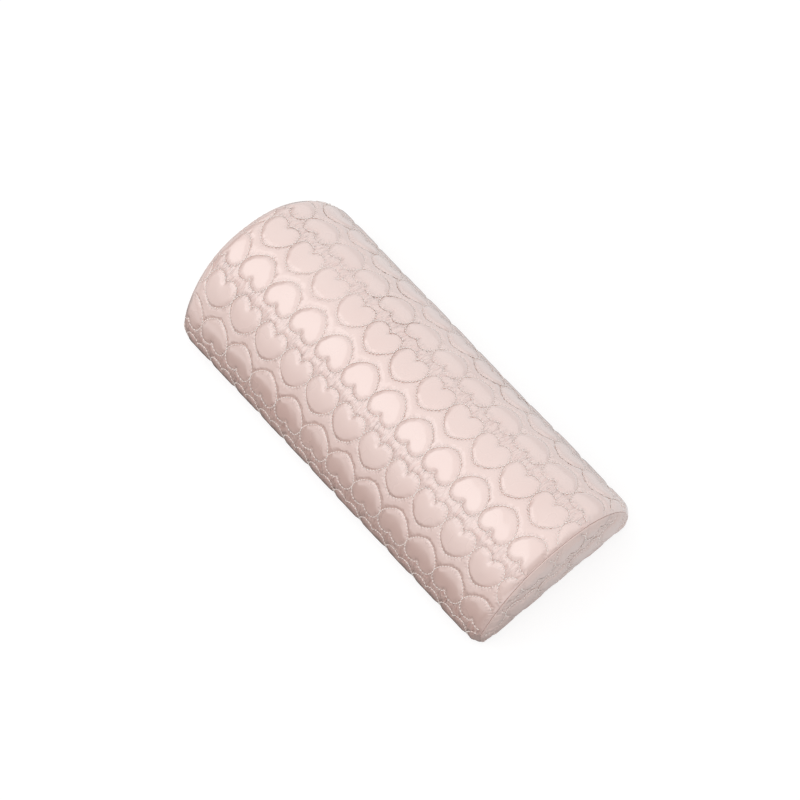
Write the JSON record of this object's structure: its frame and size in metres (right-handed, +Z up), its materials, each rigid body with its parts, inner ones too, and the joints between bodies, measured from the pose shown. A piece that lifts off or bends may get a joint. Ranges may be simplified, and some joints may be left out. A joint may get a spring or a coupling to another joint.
{
  "type": "manicure hand rest",
  "caption": "Half-round padded cushion that a hand rests on during a manicure: heart-quilted leatherette over a foam core, with quilted ends and a flat base.",
  "frame": {"origin": "on the surface the base rests on, below the middle of the cushion", "axes": "+X along the length, towards the end panel seen in the picture; -Y towards the long side seen in the picture; +Z up"},
  "size_m": [0.3084, 0.1393, 0.0708],
  "materials": {
    "leatherette": "glossy pale pink quilted leatherette",
    "leatherette_ends": "satin pale pink quilted leatherette",
    "base_cloth": "matt pink cloth",
    "foam": "soft off-white foam"
  },
  "bodies": {
    "root": {"wrap_panel": "leatherette", "end_panel_left": "leatherette_ends", "end_panel_right": "leatherette_ends", "base_panel": "base_cloth", "foam_core": "foam"}
  },
  "joints": []
}
